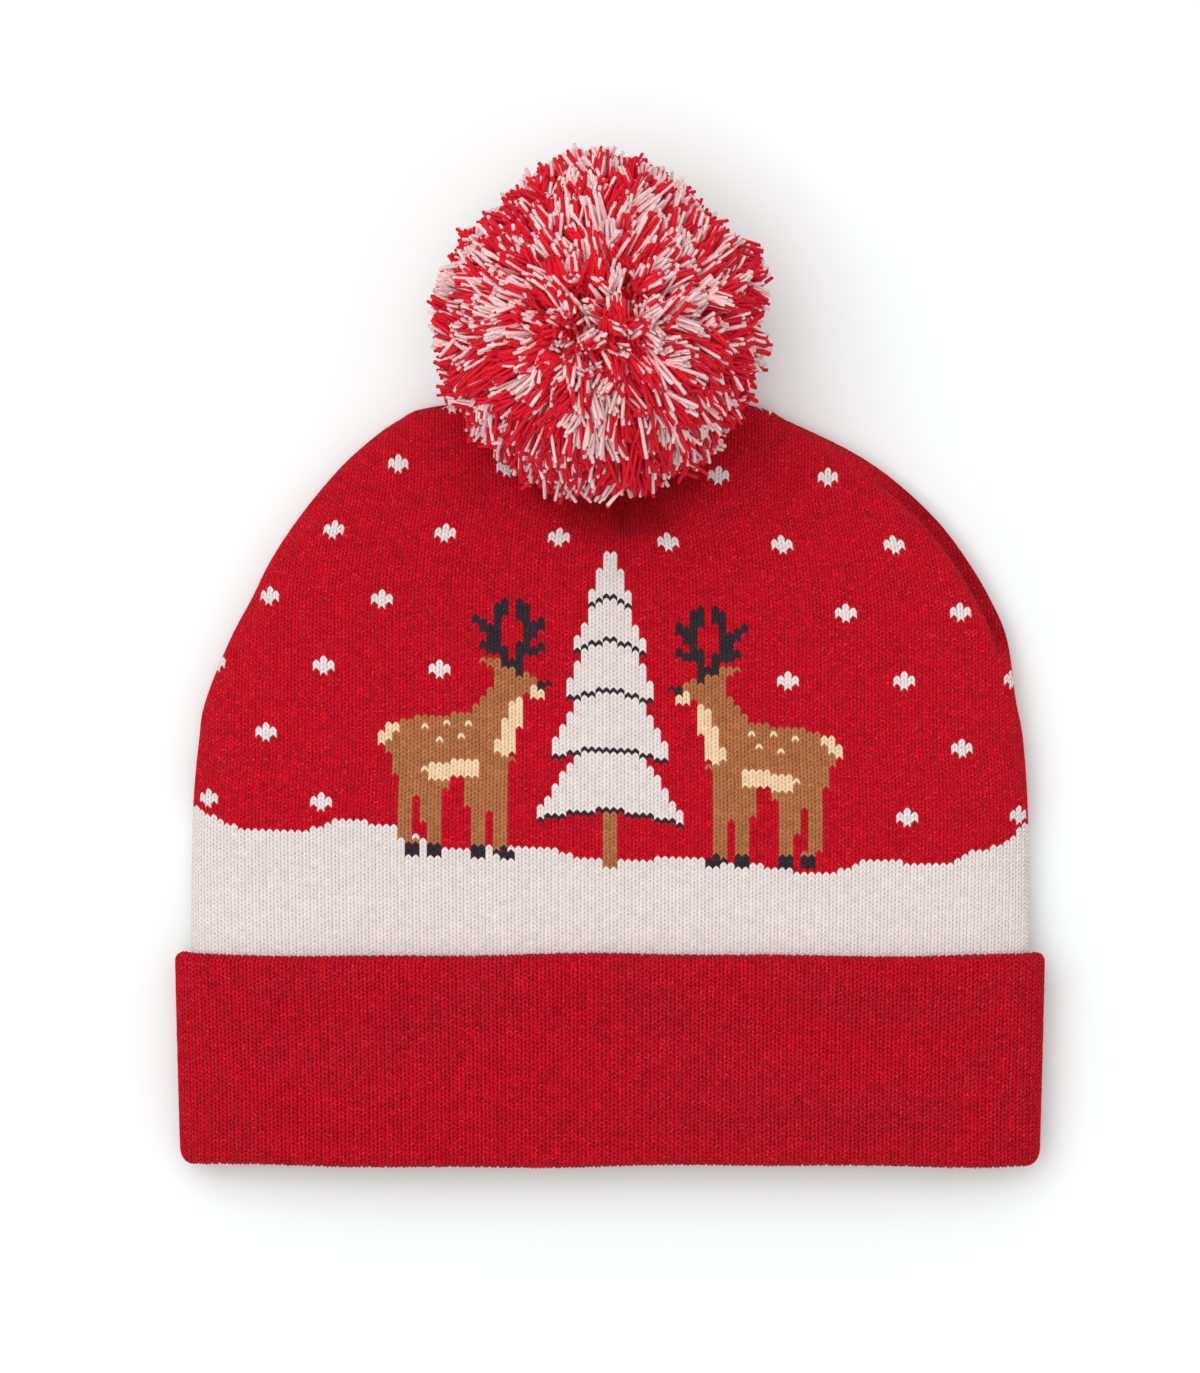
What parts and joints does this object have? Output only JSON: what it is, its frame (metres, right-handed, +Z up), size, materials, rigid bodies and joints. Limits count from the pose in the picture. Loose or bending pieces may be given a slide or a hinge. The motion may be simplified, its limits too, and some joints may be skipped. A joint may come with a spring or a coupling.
{
  "type": "knitted bobble hat",
  "caption": "Knitted winter hat with a turned-up cuff and a cut-yarn pompom, lying flat on its back with the hollow open for a head.",
  "frame": {"origin": "on the surface that the hat lies on, below the middle of its box", "axes": "+Y from the cuff's bottom fold towards the pompom, +Z up out of the front of the hat, +X to the right across the front"},
  "size_m": [0.24, 0.2784, 0.0893],
  "materials": {
    "crown_knit": "stockinette knit of soft red yarn with white, brown and black stitches in its pattern",
    "cuff_knit": "red ribbed knit, folded double",
    "pompom_yarn": "loose cut yarn, red and white mixed",
    "tie_yarn": "plain red yarn"
  },
  "bodies": {
    "root": {"crown": "crown_knit", "cuff": "cuff_knit", "pompom": "pompom_yarn", "pompom_tie": "tie_yarn"}
  },
  "joints": []
}
